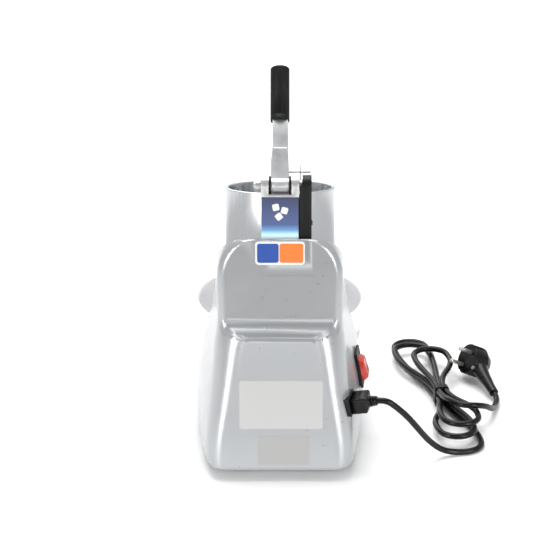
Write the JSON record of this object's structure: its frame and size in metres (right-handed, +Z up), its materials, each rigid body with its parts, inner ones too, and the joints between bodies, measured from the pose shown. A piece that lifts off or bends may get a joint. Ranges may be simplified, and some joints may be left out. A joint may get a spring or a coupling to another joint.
{
  "type": "electric ice crusher",
  "caption": "Countertop electric ice crusher: painted body, round leaning hopper with a hinged press lever and plate, blade disc, steel bowl and a coiled mains lead.",
  "frame": {"origin": "under the middle of the machine, on the surface that it stands on", "axes": "+Z up, +Y towards the tall rear face, +X away from the mains switch and inlet"},
  "size_m": [0.3611, 0.3621, 0.426],
  "materials": {
    "painted_silver": "gloss metallic paint",
    "cast_aluminium": "as cast, satin",
    "polished_aluminium": "polished",
    "stainless": "polished stainless steel",
    "steel": "zinc-plated",
    "blade_steel": "ground",
    "black_rubber": "matt",
    "black_plastic": "fine texture",
    "red_plastic": "gloss, lit from behind",
    "brass": "nickel-plated in part",
    "cord_rubber": "satin",
    "motor_steel": "matt"
  },
  "bodies": {
    "machine": {"base_casting": "painted_silver", "base_screws": "steel", "bracket_bolts": "steel", "bracket_screws": "steel", "cord_connector": "cord_rubber", "cord_hank": "cord_rubber", "cord_lead": "cord_rubber", "cord_tail": "cord_rubber", "cord_tie": "black_plastic", "cover_screws": "steel", "drive_belt": "black_rubber", "drive_bracket": "steel", "foot_screws": "steel", "head_casting": "cast_aluminium", "head_screws": "steel", "hinge_bracket": "cast_aluminium", "hinge_nut": "steel", "hinge_pin": "steel", "hopper": "polished_aluminium", "hopper_screws": "steel", "housing": "painted_silver", "inlet_blades": "brass", "lower_bearing": "steel", "motor_case": "motor_steel", "motor_screws": "steel", "plug_body": "cord_rubber", "plug_earth_strips": "brass", "plug_pins": "steel", "power_inlet": "black_plastic", "rubber_feet": "black_rubber", "safety_switch": "black_plastic", "switch_cover": "black_plastic", "switch_frame": "black_plastic", "upper_bearing": "steel"},
    "lever": {"lever_arm": "cast_aluminium", "lever_grip": "black_rubber", "hinge_bushes": "black_plastic", "switch_rod": "steel", "pusher_pin": "steel"},
    "pusher": {"pusher_plate": "cast_aluminium"},
    "disc": {"blade_disc": "cast_aluminium", "blades": "blade_steel", "blade_screws": "steel", "disc_shaft": "steel", "disc_nut": "steel", "disc_pulley": "cast_aluminium"},
    "rotor": {"motor_rotor": "steel", "motor_pulley": "steel"},
    "leaf": {"switch_leaf": "steel"},
    "rocker": {"rocker": "red_plastic"},
    "bowl": {"bowl": "stainless"}
  },
  "joints": [
    {"name": "lever_hinge", "type": "hinge", "parent": "machine", "child": "lever", "pos_m": [0, 0.09409, 0.31415], "axis": [-1, 0, 0], "range_deg": [0, 80]},
    {"name": "pusher_hinge", "type": "hinge", "parent": "lever", "child": "pusher", "pos_m": [0, 0.04361, 0.25867], "axis": [-1, 0, 0], "range_deg": [-80, 0]},
    {"name": "disc_spin", "type": "hinge", "parent": "machine", "child": "disc", "pos_m": [0, 0.04867, 0.1973], "axis": [0, -0.2198, 0.9755], "continuous": true},
    {"name": "rotor_spin", "type": "hinge", "parent": "machine", "child": "rotor", "pos_m": [0, 0.12542, 0.06596], "axis": [0, -0.2198, 0.9755], "continuous": true},
    {"name": "leaf_flex", "type": "hinge", "parent": "machine", "child": "leaf", "pos_m": [-0.0217, 0.08912, 0.30175], "axis": [1, 0, 0], "range_deg": [0, 4], "stiffness_Nm_per_rad": 0.05},
    {"name": "rocker_tilt", "type": "hinge", "parent": "machine", "child": "rocker", "pos_m": [-0.0859, 0.06577, 0.08603], "axis": [0.0948, 0.9955, 0], "range_deg": [-14, 0]},
    {"name": "bowl_slide", "type": "slide", "parent": "machine", "child": "bowl", "axis": [0, -1, 0], "range_m": [0, 0.25]}
  ],
  "couplings": [
    {"joint": "pusher_hinge", "follows": "lever_hinge", "ratio": -1},
    {"joint": "rotor_spin", "follows": "disc_spin", "ratio": 2.5}
  ]
}
